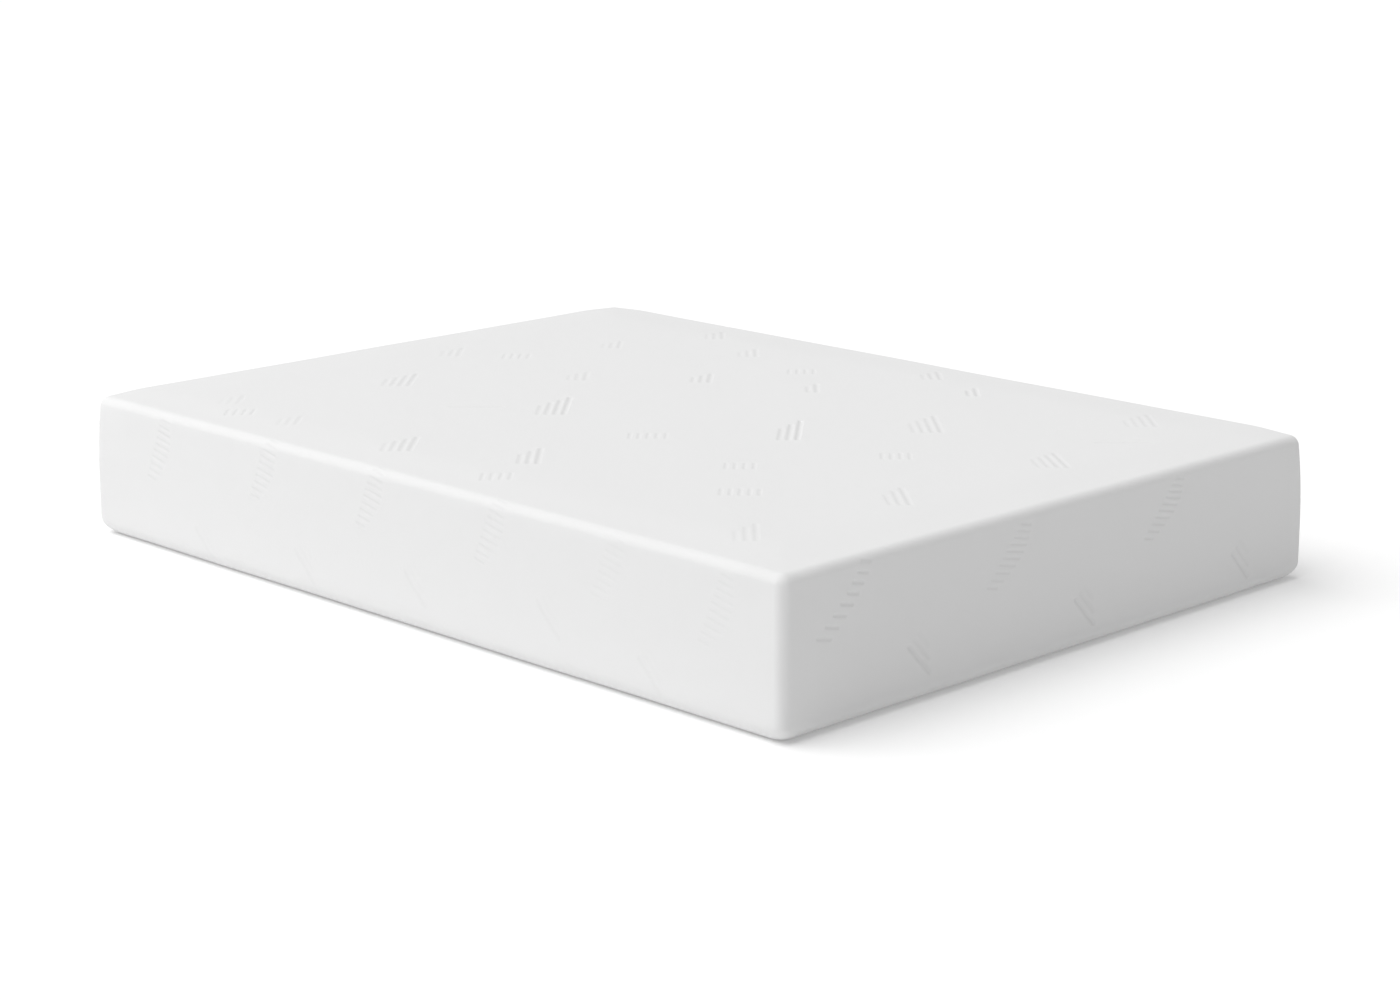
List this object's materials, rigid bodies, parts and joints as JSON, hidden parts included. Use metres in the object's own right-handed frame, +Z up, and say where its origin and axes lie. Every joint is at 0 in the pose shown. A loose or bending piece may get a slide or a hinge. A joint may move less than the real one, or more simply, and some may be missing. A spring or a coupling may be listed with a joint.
{
  "type": "memory foam mattress",
  "caption": "Plain white memory foam mattress: rounded rectangular foam core in a close-fitting knitted cover with sparse ribbed motifs and a low zip at the back.",
  "frame": {"origin": "middle of the underside, on the surface the mattress lies on", "axes": "+Z up out of the sleeping surface, +Y along the bed to the head end, +X across the bed to the right-hand side as seen from the foot"},
  "size_m": [1.5285, 2.0328, 0.305],
  "materials": {
    "knit_cover": "matte",
    "base_cloth": "matte",
    "sock_knit": "matte",
    "memory_foam": "matte",
    "comfort_foam": "matte",
    "support_foam": "matte",
    "foam_glue": "satin",
    "zip_tape": "matte",
    "zip_coil": "satin",
    "zip_metal": "satin",
    "label_cloth": "matte"
  },
  "bodies": {
    "mattress": {"cover_cap": "knit_cover", "cover_base_panel": "base_cloth", "fire_sock": "sock_knit", "memory_foam_layer": "memory_foam", "glue_film_upper": "foam_glue", "comfort_foam_layer": "comfort_foam", "glue_film_lower": "foam_glue", "support_foam_layer": "support_foam", "zip_tape_upper": "zip_tape", "zip_tape_lower": "zip_tape", "zip_coil_upper": "zip_coil", "zip_coil_lower": "zip_coil", "zip_end_tab_side": "zip_tape", "zip_end_tab_head": "zip_tape", "law_label": "label_cloth", "care_label": "label_cloth"},
    "zip_slider": {"zip_slider": "zip_metal"},
    "zip_pull": {"zip_pull": "zip_metal"}
  },
  "joints": [
    {"name": "zip_slide", "type": "slide", "parent": "mattress", "child": "zip_slider", "axis": [0, 1, 0], "range_m": [0, 1.87]},
    {"name": "pull_hinge", "type": "hinge", "parent": "zip_slider", "child": "zip_pull", "pos_m": [0.76425, -0.925, 0.052], "axis": [0, 0, -1], "range_deg": [0, 180]}
  ]
}
